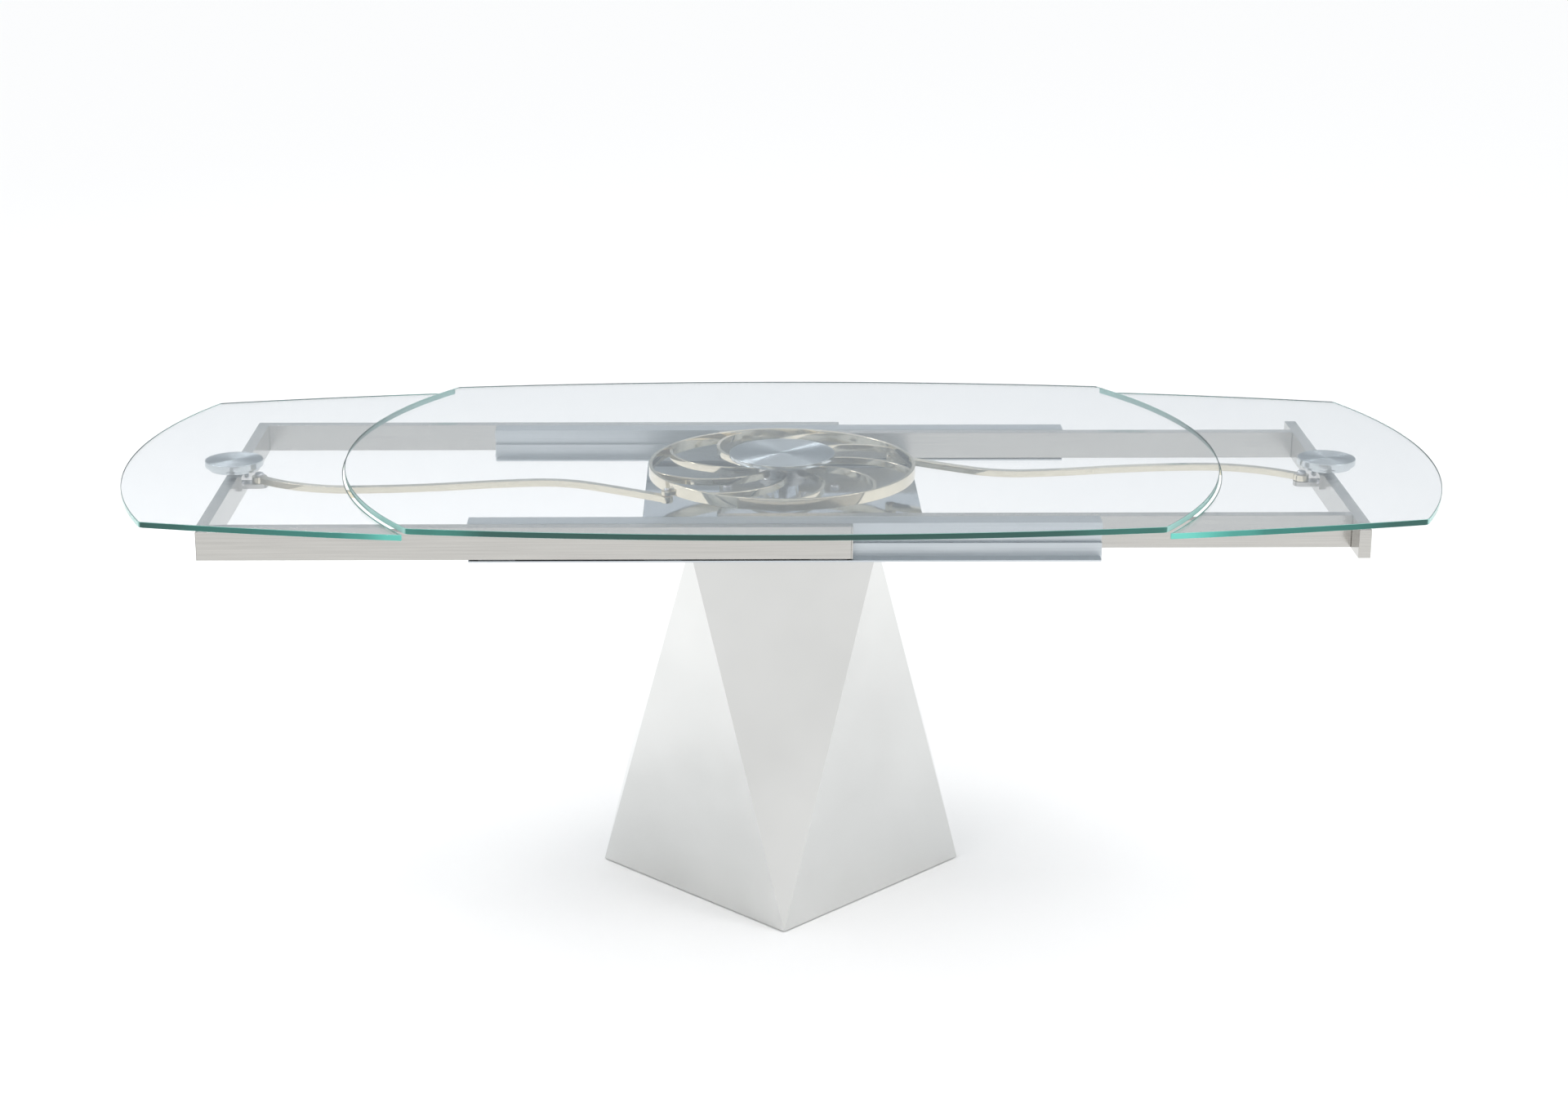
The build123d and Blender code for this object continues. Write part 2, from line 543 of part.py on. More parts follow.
def spoke(angle):
    """Flat bar that leaves the hub radially and curves clockwise to the ring."""
    wide = Circle(SPOKE_ARC_R + SPOKE_T / 2) - Circle(SPOKE_ARC_R - SPOKE_T / 2)
    band = Pos(HUB_R, -SPOKE_ARC_R) * wide
    band &= Pos(HUB_R + SPOKE_ARC_R, -SPOKE_ARC_R) * Rectangle(2 * SPOKE_ARC_R, 4 * SPOKE_ARC_R)
    bar = Pos(0, 0, SPOKE_MID - SPOKE_H / 2) * extrude(band, SPOKE_H)
    bar &= rod_z(0, 0, RING_R - RING_T, RING_BOTTOM, RING_TOP)
    bar -= rod_z(0, 0, HUB_R, RING_BOTTOM, RING_TOP)
    upper = bar.solids().sort_by(Axis.Y)[-1]
    return Rot(0, 0, angle) * upper


for k in range(SPOKES):
    save(f"spoke_{k + 1}", spoke(SPOKE_START - k * 360 / SPOKES))


def rim_spot(angle):
    a = math.radians(angle)
    return PIN_CIRCLE_R * math.cos(a), PIN_CIRCLE_R * math.sin(a)


def rim_lug(angle):
    """Ear on the outside of the ring that carries a rim pin."""
    x, y = rim_spot(angle)
    ear = rod_z(x, y, LUG_R, RING_BOTTOM, RING_BOTTOM + LUG_T)
    root = Rot(0, 0, angle) * block(RING_R - RING_T, PIN_CIRCLE_R, -LUG_R, LUG_R,
                                    RING_BOTTOM, RING_BOTTOM + LUG_T)
    ear = ear + root - rod_z(0, 0, RING_R, RING_BOTTOM, RING_TOP)
    return solid_of(ear - rod_z(x, y, RIM_PIN_R, RING_BOTTOM, RING_TOP))


def rim_pin(angle):
    """Shoulder pin in a lug, stopping just above the rod's eye."""
    x, y = rim_spot(angle)
    seat = RING_BOTTOM + LUG_T
    head = rod_z(x, y, RIM_PIN_R + 1, seat, seat + 5.0)
    head = fillet(head.edges().filter_by(GeomType.CIRCLE).sort_by(Axis.Z)[-1], 2.0)
    pin = head + rod_z(x, y, RIM_PIN_R, ROD_TOP + RIM_PIN_AIR, seat)
    return solid_of(pin - rod_z(0, 0, RING_R, seat, TABLE_HEIGHT))


PIN_ANGLES = (PIN_ANGLE, PIN_ANGLE - 180)
save("rim_lugs", *[rim_lug(a) for a in PIN_ANGLES])
save("rim_pins", *[rim_pin(a) for a in PIN_ANGLES])


# -------------------------------------------------------------------- rods
def rod():
    """Left rod: a flat bar on five tangent arcs from the end pivot to the rim pin."""
    pin = rim_spot(PIN_ANGLE)
    path = [(-PIVOT_X, 0.0), (-730.0, -68.0), (-540.0, -44.0), (-430.0, -27.0), (-330.0, -48.0), pin]
    chord = math.atan2(path[1][1] - path[0][1], path[1][0] - path[0][0])
    heading = 2 * chord - math.radians(2.0)
    arcs = []
    for start, end in zip(path, path[1:]):
        arcs.append(TangentArc(start, end, tangent=(math.cos(heading), math.sin(heading))))
        chord = math.atan2(end[1] - start[1], end[0] - start[0])
        heading = 2 * chord - heading
    bar = Pos(0, 0, ROD_BOTTOM) * extrude(trace(Curve() + arcs, ROD_W), ROD_H)
    bar += rod_z(-PIVOT_X, 0, EYE_R, ROD_BOTTOM, ROD_TOP)
    bar += rod_z(*pin, LUG_R, ROD_BOTTOM, ROD_TOP)
    bar -= rod_z(-PIVOT_X, 0, ROD_PIN_R + RUNNING + ROD_BUSH_T, ROD_BOTTOM, ROD_TOP)
    bar -= rod_z(*pin, RIM_PIN_R + RUNNING + ROD_BUSH_T, ROD_BOTTOM, ROD_TOP)
    return solid_of(bar)


def rod_bush(x, y, pin_r):
    bore = pin_r + RUNNING
    sleeve = rod_z(x, y, bore + ROD_BUSH_T, ROD_BOTTOM, ROD_TOP)
    return solid_of(sleeve - rod_z(x, y, bore, ROD_BOTTOM, ROD_TOP))


left_rod = rod()
left_bushes = [rod_bush(-PIVOT_X, 0, ROD_PIN_R), rod_bush(*rim_spot(PIN_ANGLE), RIM_PIN_R)]
save("left_rod", left_rod)
save("left_rod_bushes", *left_bushes)
save("right_rod", half_turn(left_rod))
save("right_rod_bushes", *[half_turn(b) for b in left_bushes])

print(len(written), "nodes")
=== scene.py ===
import json
import math

import bmesh
import bpy
from mathutils import Matrix, Vector


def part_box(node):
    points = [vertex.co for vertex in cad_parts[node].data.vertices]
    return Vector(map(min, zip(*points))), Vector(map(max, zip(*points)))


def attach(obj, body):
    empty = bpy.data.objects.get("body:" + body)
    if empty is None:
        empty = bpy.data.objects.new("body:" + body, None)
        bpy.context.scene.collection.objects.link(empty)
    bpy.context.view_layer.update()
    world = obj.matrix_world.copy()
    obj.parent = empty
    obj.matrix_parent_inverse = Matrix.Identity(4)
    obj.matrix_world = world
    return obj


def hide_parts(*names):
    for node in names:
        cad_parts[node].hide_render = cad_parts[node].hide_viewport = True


# Extendable glass dining table with a polished pedestal. The frame's CAD nodes
# keep their places; most visible ones are replaced by copies with eased edges,
# and the panes are built again with chamfered edges. Metres.

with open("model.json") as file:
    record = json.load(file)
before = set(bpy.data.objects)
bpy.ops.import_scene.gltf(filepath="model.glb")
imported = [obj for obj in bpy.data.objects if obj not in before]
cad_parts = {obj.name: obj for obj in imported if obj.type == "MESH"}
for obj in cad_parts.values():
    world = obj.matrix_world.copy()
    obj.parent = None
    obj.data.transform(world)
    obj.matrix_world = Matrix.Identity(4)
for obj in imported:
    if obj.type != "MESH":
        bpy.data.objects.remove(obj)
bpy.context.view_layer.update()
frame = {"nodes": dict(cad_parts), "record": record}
cad = frame["nodes"]
bodies = frame["record"]["behaviour"]["bodies"]
body_of = {node: body for body, members in bodies.items() for node in members}
slot_of = {node: cad[node].data.materials[0].name for node in cad}

# ------------------------------------------------------------- driving sizes
PANE = 0.010
CLOSED_LENGTH = 1.500
TABLE_WIDTH = 1.000
LEAF_CORNER = (1.036, 0.385)
CENTRE_END_R = 0.790
SEAM_GAP = 0.003
GLASS_CORNER_R = 0.006
ARRIS = 0.0012              # polished chamfer along a pane's edges
GLUE_LINE = 0.0002          # between a disc and the pane it is bonded to

TABLE_LENGTH = 2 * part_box("right_leaf_glass")[1].x
CENTRE_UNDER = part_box("centre_glass")[0].z
LEAF_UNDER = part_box("left_leaf_glass")[0].z

# ------------------------------------------------------------- mesh settings
ARC_STEP = math.radians(0.6)
CORNER_SEGMENTS = 8         # round a pane's rounded corner
ARRIS_SEGMENTS = 3
EASE_SEGMENTS = 2
ROUND = 0.5                 # a bevel's profile
EASED_TURN = math.radians(30.0)     # an edge that turns more than this is eased
SHARP_TURN = math.radians(50.0)     # an edge that turns more than this is shaded sharp
FLAT_TURN = math.radians(0.5)       # faces that turn less than this are joined
SQUARE_SLACK = 0.1          # radians by which a pane's rim may differ from square
SAME_PLACE = 1e-6
LEVEL = 0.99                # upright share of a normal, above which a face counts as level
BISECTIONS = 60


# -------------------------------------------------------------------- camera
CAMERA_AT = (-0.0848, -4.7809, 2.069)
CAMERA_DOWN = math.radians(17.352)
CAMERA_YAW = math.radians(1.061)      # towards +X
CAMERA_ROLL = math.radians(0.184)
CAMERA_LENS = 65.64                   # mm, as is the sensor
SENSOR_WIDTH = 36.0
CLIP_START = 0.05
CLIP_END = 200.0


def make_camera():
    ahead = Vector((math.sin(CAMERA_YAW) * math.cos(CAMERA_DOWN),
                    math.cos(CAMERA_YAW) * math.cos(CAMERA_DOWN), -math.sin(CAMERA_DOWN)))
    level = Vector((math.cos(CAMERA_YAW), -math.sin(CAMERA_YAW), 0))
    upright = level.cross(ahead)
    c, s = math.cos(CAMERA_ROLL), math.sin(CAMERA_ROLL)
    right = level * c + upright * s
    up = upright * c - level * s
    data = bpy.data.cameras.new("camera")
    data.sensor_fit = "HORIZONTAL"
    data.sensor_width = SENSOR_WIDTH
    data.lens = CAMERA_LENS
    data.clip_start = CLIP_START
    data.clip_end = CLIP_END
    camera = bpy.data.objects.new("camera", data)
    turn = Matrix((right, up, -ahead)).transposed().to_4x4()
    camera.matrix_world = Matrix.Translation(CAMERA_AT) @ turn
    bpy.context.scene.collection.objects.link(camera)
    bpy.context.scene.camera = camera


make_camera()


# ------------------------------------------------------------ material nodes
# Absorption is (1 - tint) * density per metre.
GLASS_TINT = (0.27, 0.54, 0.50, 1)
GLASS_DENSITY = 3.5

GRAIN_SPAN = (0.3, 0.7)         # most of a noise's values lie between these
GRAIN_SHARE = 0.6               # of the roughness; the rest follows smudges
GOLD = ((0.66, 0.60, 0.47), (0.80, 0.74, 0.60))
SATIN = ((0.44, 0.43, 0.41), (0.53, 0.52, 0.495))
SATIN_ROUGHNESS = (0.14, 0.24)

# A pane's edge, by the share of its normal that points along Y.
FLANK_FACING = (0.05, 0.45)     # from an end's apex to its flank
SIDE_FACING = (0.68, 0.85)      # from an end's corner to a long side
FLANK_CLEAR = 0.40              # how clear an end's flank is
SIDE_CLEAR = 0.30               # how much of that a long side keeps
END_TONE = (0.48, 0.90, 0.83, 1)
LIGHT_BAND_DRIFT = 0.09               # metres by which noise moves the painted light bands along an edge's green


class Shade:
    """One procedural material, with short calls for the nodes it is made of."""

    def __init__(self, name):
        self.material = bpy.data.materials.new(name)
        self.material.use_nodes = True
        self.tree = self.material.node_tree
        self.shader = self.tree.nodes["Principled BSDF"]
        self.output = self.tree.nodes["Material Output"]
        self.place = self.node("ShaderNodeTexCoord")

    def node(self, kind, **settings):
        made = self.tree.nodes.new(kind)
        for key, value in settings.items():
            setattr(made, key, value)
        return made

    def feed(self, socket, value):
        if isinstance(value, bpy.types.NodeSocket):
            self.tree.links.new(value, socket)
        else:
            socket.default_value = value

    def put(self, **sockets):
        """Sets sockets of the Principled shader: Base_Color=..., Roughness=..."""
        for name, value in sockets.items():
            self.feed(self.shader.inputs[name.replace("_", " ")], value)

    def math(self, operation, a, b=0.0):
        made = self.node("ShaderNodeMath", operation=operation)
        self.feed(made.inputs[0], a)
        self.feed(made.inputs[1], b)
        return made.outputs[0]

    def vector(self, operation, a, b=(0, 0, 0)):
        made = self.node("ShaderNodeVectorMath", operation=operation)
        self.feed(made.inputs[0], a)
        self.feed(made.inputs[1], b)
        return made.outputs["Value" if operation == "LENGTH" else "Vector"]

    def axes(self, vector):
        made = self.node("ShaderNodeSeparateXYZ")
        self.feed(made.inputs[0], vector)
        return made.outputs

    def point(self, x, y, z):
        made = self.node("ShaderNodeCombineXYZ")
        for socket, value in zip(made.inputs, (x, y, z)):
            self.feed(socket, value)
        return made.outputs[0]

    def noise(self, vector, scale, detail=2.0, roughness=0.5):
        made = self.node("ShaderNodeTexNoise")
        self.feed(made.inputs["Vector"], vector)
        made.inputs["Scale"].default_value = scale
        made.inputs["Detail"].default_value = detail
        made.inputs["Roughness"].default_value = roughness
        return made.outputs["Fac"]

    def span(self, value, low, high, from_low=0.0, from_high=1.0):
        """Maps from_low..from_high to low..high, clamped."""
        made = self.node("ShaderNodeMapRange")
        for name, number in (("Value", value), ("From Min", from_low), ("From Max", from_high),
                             ("To Min", low), ("To Max", high)):
            self.feed(made.inputs[name], number)
        return made.outputs[0]

    def ramp(self, value, *stops):
        made = self.node("ShaderNodeValToRGB")
        elements = made.color_ramp.elements
        while len(elements) < len(stops):
            elements.new(0.5)
        for element, (position, colour) in zip(elements, stops):
            element.position = position
            element.color = (*colour, 1)
        self.feed(made.inputs[0], value)
        return made.outputs[0]

    def relief(self, height, strength, distance):
        made = self.node("ShaderNodeBump")
        made.inputs["Strength"].default_value = strength
        made.inputs["Distance"].default_value = distance
        self.feed(made.inputs["Height"], height)
        self.put(Normal=made.outputs[0])

    def round_grain(self, rings, drift):
        """Noise that runs in circles about the piece's own upright axis."""
        place = self.place.outputs["Generated"]
        centred = self.axes(self.vector("SUBTRACT", place, (0.5, 0.5, 0.5)))
        flat = self.point(centred[0], centred[1], 0.0)
        radius = self.vector("LENGTH", flat)
        turn = self.math("ARCTAN2", centred[1], centred[0])
        across = self.math("MULTIPLY", radius, rings)
        around = self.math("MULTIPLY", turn, drift)
        return self.noise(self.point(across, around, 0.0), 1.0, 3.0, 0.6)

    def straight_grain(self, stretch):
        """Noise drawn out along the axis whose stretch is smallest."""
        drawn_out = self.vector("MULTIPLY", self.place.outputs["Object"], stretch)
        return self.noise(drawn_out, 1.0, 3.0, 0.6)


def metal(name, dark, light, roughness, grain, depth):
    """Metal whose colour, roughness and relief follow a grain; roughness is (low, high)."""
    shade = Shade(name)
    pattern = grain(shade)
    low, high = GRAIN_SPAN
    shade.put(Metallic=1.0, Base_Color=shade.ramp(pattern, (low, dark), (high, light)))
    smudge = shade.noise(shade.place.outputs["Object"], 9.0, 3.0)
    worn = shade.math("ADD", shade.math("MULTIPLY", pattern, GRAIN_SHARE),
                      shade.math("MULTIPLY", smudge, 1 - GRAIN_SHARE))
    shade.put(Roughness=shade.span(worn, *roughness, low, high))
    shade.relief(pattern, 0.35, depth)
    return shade


def spun_aluminium():
    shade = metal("spun_aluminium", (0.42, 0.47, 0.50), (0.56, 0.61, 0.64), (0.40, 0.50),
                  lambda s: s.round_grain(180.0, 0.8), 0.00001)
    tangent = shade.node("ShaderNodeTangent", direction_type="RADIAL", axis="Z")
    shade.put(Anisotropic=1.0, Anisotropic_Rotation=0.25, Tangent=tangent.outputs[0])
    return shade.material


def turned_rim_with_painted_highlight():
    """Machined side of a disc, smoother and finely lined; painted brighter than its spun faces as
    a painted highlight.
    """
    shade = metal("turned_rim_with_painted_highlight", (0.52, 0.56, 0.58), (0.64, 0.68, 0.70), (0.10, 0.18),
                  lambda s: s.straight_grain((3.0, 3.0, 1500.0)), 0.000005)
    return shade.material


def pale_gold():
    shade = metal("pale_gold", *GOLD, (0.04, 0.10),
                  lambda s: s.straight_grain((60.0, 60.0, 600.0)), 0.00001)
    return shade.material


def spun_gold():
    shade = metal("spun_gold", *GOLD, (0.03, 0.08),
                  lambda s: s.round_grain(300.0, 2.0), 0.00001)
    return shade.material


def polished_steel():
    """Sheet steel polished by hand: faint fine lines, slight waviness and soft smudges."""
    shade = Shade("polished_steel")
    lines = shade.straight_grain((500.0, 500.0, 14.0))
    cloud = shade.noise(shade.place.outputs["Object"], 4.0, 3.0)
    tone = shade.ramp(cloud, (0.25, (0.66, 0.665, 0.655)), (0.75, (0.74, 0.745, 0.735)))
    shade.put(Metallic=1.0, Base_Color=tone)
    shade.put(Roughness=shade.span(shade.math("ADD", lines, cloud), 0.07, 0.17, 0.7, 1.3))
    wave = shade.noise(shade.place.outputs["Object"], 5.0, 1.0)
    height = shade.math("ADD", shade.math("MULTIPLY", wave, 8.0),
                        shade.math("MULTIPLY", lines, 0.1))
    shade.relief(height, 0.25, 0.0002)
    return shade.material


def bright_metal(name, dark, light, roughness, cloud_scale, cloud_detail):
    """Smooth metal without a grain, only clouded a little."""
    shade = Shade(name)
    low, high = GRAIN_SPAN
    cloud = shade.noise(shade.place.outputs["Object"], cloud_scale, cloud_detail)
    shade.put(Metallic=1.0, Base_Color=shade.ramp(cloud, (low, dark), (high, light)))
    shade.put(Roughness=shade.span(cloud, *roughness, low, high))
    return shade.material


def mirror_steel():
    return bright_metal("mirror_steel", (0.44, 0.49, 0.53), (0.50, 0.55, 0.59), (0.03, 0.09),
                        cloud_scale=12.0, cloud_detail=4.0)


def chromed_steel():
    return bright_metal("chromed_steel", (0.62, 0.65, 0.68), (0.70, 0.73, 0.76), (0.05, 0.12),
                        cloud_scale=30.0, cloud_detail=3.0)


def satin_steel(name, stretch):
    shade = metal(name, *SATIN, SATIN_ROUGHNESS, lambda s: s.straight_grain(stretch), 0.00001)
    return shade.material


def rail_aluminium():
    shade = metal("rail_aluminium", (0.48, 0.52, 0.55), (0.60, 0.64, 0.67), (0.30, 0.44),
                  lambda s: s.straight_grain((3.0, 900.0, 900.0)), 0.00004)
    return shade.material


def bearing_bronze():
    shade = metal("bearing_bronze", (0.36, 0.23, 0.10), (0.50, 0.34, 0.17), (0.28, 0.42),
                  lambda s: s.noise(s.place.outputs["Object"], 900.0, 2.0), 0.00003)
    return shade.material


def bright_fasteners():
    shade = metal("bright_fasteners", (0.52, 0.53, 0.55), (0.68, 0.69, 0.71), (0.18, 0.30),
                  lambda s: s.noise(s.place.outputs["Object"], 700.0, 2.0), 0.00002)
    return shade.material


def moulded_plastic(name, dark, light, roughness):
    """Moulded plastic with a fine spark-eroded texture."""
    shade = Shade(name)
    low, high = GRAIN_SPAN
    grit = shade.noise(shade.place.outputs["Object"], 1500.0, 2.0)
    shade.put(Base_Color=shade.ramp(grit, (low, dark), (high, light)))
    shade.put(Roughness=shade.span(grit, *roughness))
    shade.relief(grit, 0.4, 0.00005)
    return shade.material


def painted_ballast():
    shade = Shade("painted_ballast")
    low, high = GRAIN_SPAN
    peel = shade.noise(shade.place.outputs["Object"], 260.0, 2.0)
    tone = shade.ramp(peel, (low, (0.020, 0.021, 0.022)), (high, (0.032, 0.033, 0.034)))
    shade.put(Base_Color=tone)
    shade.put(Roughness=shade.span(peel, 0.4, 0.55))
    shade.relief(peel, 0.4, 0.0002)
    return shade.material


def float_glass(name, dull, bright):
    """Clear glass that takes up light along its way, so a longer way through it looks greener."""
    shade = Shade(name)
    haze = shade.noise(shade.place.outputs["Object"], 2.5, 2.0)
    shade.put(Base_Color=shade.ramp(haze, (0.2, dull), (0.8, bright)))
    shade.put(Roughness=0.0, IOR=1.5, Transmission_Weight=1.0, Specular_IOR_Level=0.5)
    inside = shade.node("ShaderNodeVolumeAbsorption")
    inside.inputs["Color"].default_value = GLASS_TINT
    inside.inputs["Density"].default_value = GLASS_DENSITY
    shade.feed(shade.output.inputs["Volume"], inside.outputs[0])
    return shade


def pane_edge(name, *stops):
    """Edge of a pane. Its long sides are green, in lighter and darker bands by their distance
    from the table's middle in metres: painted light and shade along the edge. Its ends stay nearly
    clear."""
    shade = float_glass(name, (0.90, 0.97, 0.96), (0.96, 0.99, 0.985))
    place = shade.axes(shade.place.outputs["Object"])
    facing = shade.math("ABSOLUTE", shade.axes(shade.place.outputs["Normal"])[1])
    drift = shade.noise(shade.point(place[0], place[1], 0.0), 5.0, 2.0)
    shift = shade.span(drift, -LIGHT_BAND_DRIFT, LIGHT_BAND_DRIFT, *GRAIN_SPAN)
    along = shade.math("ADD", shade.math("ABSOLUTE", place[0]), shift)
    reach = stops[-1][0]
    painted_light_bands = [(where / reach, colour) for where, colour in stops]
    # The green's bands are painted light and shade: lighter where the edge catches light, darker
    # where it does not.
    green_and_painted_light = shade.ramp(shade.math("DIVIDE", along, reach), *painted_light_bands)
    deep = shade.span(facing, 0.0, 1.0, *SIDE_FACING)
    clear = shade.math("MULTIPLY", shade.span(facing, 1.0, FLANK_CLEAR, *FLANK_FACING),
                       shade.span(facing, 1.0, SIDE_CLEAR, *SIDE_FACING))
    tone = shade.node("ShaderNodeMix", data_type="RGBA")
    shade.feed(tone.inputs["Factor"], deep)
    tone.inputs["A"].default_value = END_TONE
    shade.feed(tone.inputs["B"], green_and_painted_light)
    shade.put(Base_Color=tone.outputs["Result"], Transmission_Weight=clear, Roughness=0.02)
    return shade.material


finish = {
    "clear_glass": float_glass("clear_glass", (0.935, 0.932, 0.945),
                               (0.950, 0.945, 0.957)).material,
    "brushed_aluminium": spun_aluminium(),
    "polished_steel": polished_steel(),
    "satin_steel": satin_steel("satin_steel", (5.0, 500.0, 500.0)),
    "rail_aluminium": rail_aluminium(),
    "pale_gold": pale_gold(),
    "bearing_bronze": bearing_bronze(),
    "bright_fasteners": bright_fasteners(),
    "white_nylon": moulded_plastic("white_nylon", (0.68, 0.67, 0.64), (0.76, 0.75, 0.72),
                                   (0.35, 0.5)),
    "grey_plastic": moulded_plastic("grey_plastic", (0.16, 0.17, 0.18), (0.22, 0.23, 0.24),
                                    (0.4, 0.55)),
    "painted_ballast": painted_ballast(),
}
special_finish = {
    "mounting_plate": mirror_steel(),
    "column": chromed_steel(),
    "wheel_ring": spun_gold(),
    "left_crossbar": satin_steel("cross_satin_steel", (500.0, 5.0, 500.0)),
}
special_finish["right_crossbar"] = special_finish["left_crossbar"]
# Each edge's stops give a distance from the table's middle and a green; their lighter and darker
# steps are painted light and shade.
centre_edge = pane_edge("centre_edge",
                        (0.00, (0.008, 0.055, 0.044)),
                        (0.50, (0.012, 0.085, 0.070)),
                        (0.62, (0.030, 0.190, 0.155)),
                        (0.75, (0.060, 0.360, 0.300)))
leaf_edge = pane_edge("leaf_edge",
                      (0.58, (0.160, 0.620, 0.530)),
                      (0.67, (0.100, 0.480, 0.410)),
                      (0.74, (0.028, 0.210, 0.175)),
                      (0.95, (0.016, 0.120, 0.100)),
                      (1.05, (0.010, 0.070, 0.058)))
# The sides of discs take a colour painted lighter than their tops: a painted highlight.
rim_finish_with_painted_highlight = turned_rim_with_painted_highlight()


# -------------------------------------------------------------------- pieces
def add_piece(name, bm, materials, node):
    """Turns a bmesh into a piece that rides where the CAD node rides and stands for it."""
    mesh = bpy.data.meshes.new(name)
    bmesh.ops.recalc_face_normals(bm, faces=bm.faces)
    bm.to_mesh(mesh)
    bm.free()
    for material in materials:
        mesh.materials.append(material)
    mesh.shade_smooth()
    mesh.set_sharp_from_angle(angle=SHARP_TURN)
    piece = bpy.data.objects.new(name, mesh)
    bpy.context.scene.collection.objects.link(piece)
    even = piece.modifiers.new("even_normals", "WEIGHTED_NORMAL")
    even.keep_sharp = True
    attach(piece, body_of[node])
    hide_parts(node)
    return piece


def split_level_faces(bm):
    """Level faces get the first material, and the sides the second."""
    bm.normal_update()
    for f in bm.faces:
        f.material_index = 0 if abs(f.normal.z) > LEVEL else 1


def eased(node, width, bond=0.0):
    """A copy of a CAD node with its sharp edges rounded. Its top is lowered by bond, which
    leaves room for a glue line."""
    bm = bmesh.new()
    bm.from_mesh(cad[node].data)
    bmesh.ops.remove_doubles(bm, verts=bm.verts, dist=SAME_PLACE)
    top = max(v.co.z for v in bm.verts)
    for v in bm.verts:
        if v.co.z > top - SAME_PLACE:
            v.co.z -= bond
    bmesh.ops.dissolve_limit(bm, angle_limit=FLAT_TURN, verts=bm.verts, edges=bm.edges)
    sharp = [e for e in bm.edges
             if len(e.link_faces) == 2 and e.calc_face_angle() > EASED_TURN]
    bmesh.ops.bevel(bm, geom=sharp, offset=width, segments=EASE_SEGMENTS, profile=ROUND,
                    affect="EDGES", clamp_overlap=True)
    materials = [special_finish.get(node, finish[slot_of[node]])]
    if node in DISCS:
        # The sides get the rim finish, painted lighter than the top as a painted highlight.
        materials.append(rim_finish_with_painted_highlight)
        split_level_faces(bm)
    return add_piece(f"{node}_eased", bm, materials, node)


def arc_points(centre, radius, start, end):
    """Points on an arc from angle start to angle end, both included."""
    steps = max(2, math.ceil(abs(end - start) / ARC_STEP))
    for k in range(steps + 1):
        angle = start + (end - start) * k / steps
        yield Vector((centre[0] + radius * math.cos(angle), centre[1] + radius * math.sin(angle)))


def arc_between(a, b, radius, bulge):
    """Points from a to b on an arc that bulges to the left of that way (bulge 1) or to the
    right (bulge -1)."""
    a, b = Vector(a), Vector(b)
    half = (b - a).length / 2
    across = Vector((-(b - a).y, (b - a).x)).normalized()
    centre = (a + b) / 2 - across * bulge * math.sqrt(radius ** 2 - half ** 2)
    start = math.atan2(*(a - centre).yx)
    sweep = 2 * math.asin(half / radius)
    return list(arc_points(centre, radius, start, start - bulge * sweep))


def radius_over(half_chord, rise):
    return (half_chord ** 2 + rise ** 2) / (2 * rise)


LONG_EDGE_R = radius_over(LEAF_CORNER[0], TABLE_WIDTH / 2 - LEAF_CORNER[1])
LEAF_END_R = radius_over(LEAF_CORNER[1], TABLE_LENGTH / 2 - LEAF_CORNER[0])


def long_edge_y(x):
    return math.sqrt(LONG_EDGE_R ** 2 - x ** 2) - LONG_EDGE_R + TABLE_WIDTH / 2


def end_corner(radius):
    """Where the right end circle meets the rear long edge. The circle is centred as the centre
    pane's end is."""
    low, high = 0.0, TABLE_WIDTH / 2
    centre_x = CLOSED_LENGTH / 2 - CENTRE_END_R
    for _ in range(BISECTIONS):
        y = (low + high) / 2
        x = centre_x + math.sqrt(radius ** 2 - y ** 2)
        if y < long_edge_y(x):
            low = y
        else:
            high = y
    return Vector((x, y))


def pane(name, outline, corners, under, node, edge):
    """A pane from its plan outline, with rounded corners and polished chamfers."""
    bm = bmesh.new()
    ring = [bm.verts.new((p.x, p.y, under)) for p in outline]
    face = bm.faces.new(ring)
    top = bmesh.ops.extrude_face_region(bm, geom=[face])["geom"]
    raised = [v for v in top if isinstance(v, bmesh.types.BMVert)]
    bmesh.ops.translate(bm, verts=raised, vec=(0, 0, PANE))
    upright = [e for e in bm.edges if abs(e.verts[0].co.z - e.verts[1].co.z) > PANE / 2
               and any((e.verts[0].co.xy - corner).length < SAME_PLACE for corner in corners)]
    bmesh.ops.bevel(bm, geom=upright, offset=GLASS_CORNER_R, segments=CORNER_SEGMENTS,
                    profile=ROUND, affect="EDGES")
    rims = [e for e in bm.edges if abs(e.verts[0].co.z - e.verts[1].co.z) < SAME_PLACE
            and abs(e.calc_face_angle(0) - math.pi / 2) < SQUARE_SLACK]
    bmesh.ops.bevel(bm, geom=rims, offset=ARRIS, segments=ARRIS_SEGMENTS, profile=ROUND,
                    affect="EDGES")
    split_level_faces(bm)
    return add_piece(name, bm, [finish["clear_glass"], edge], node)


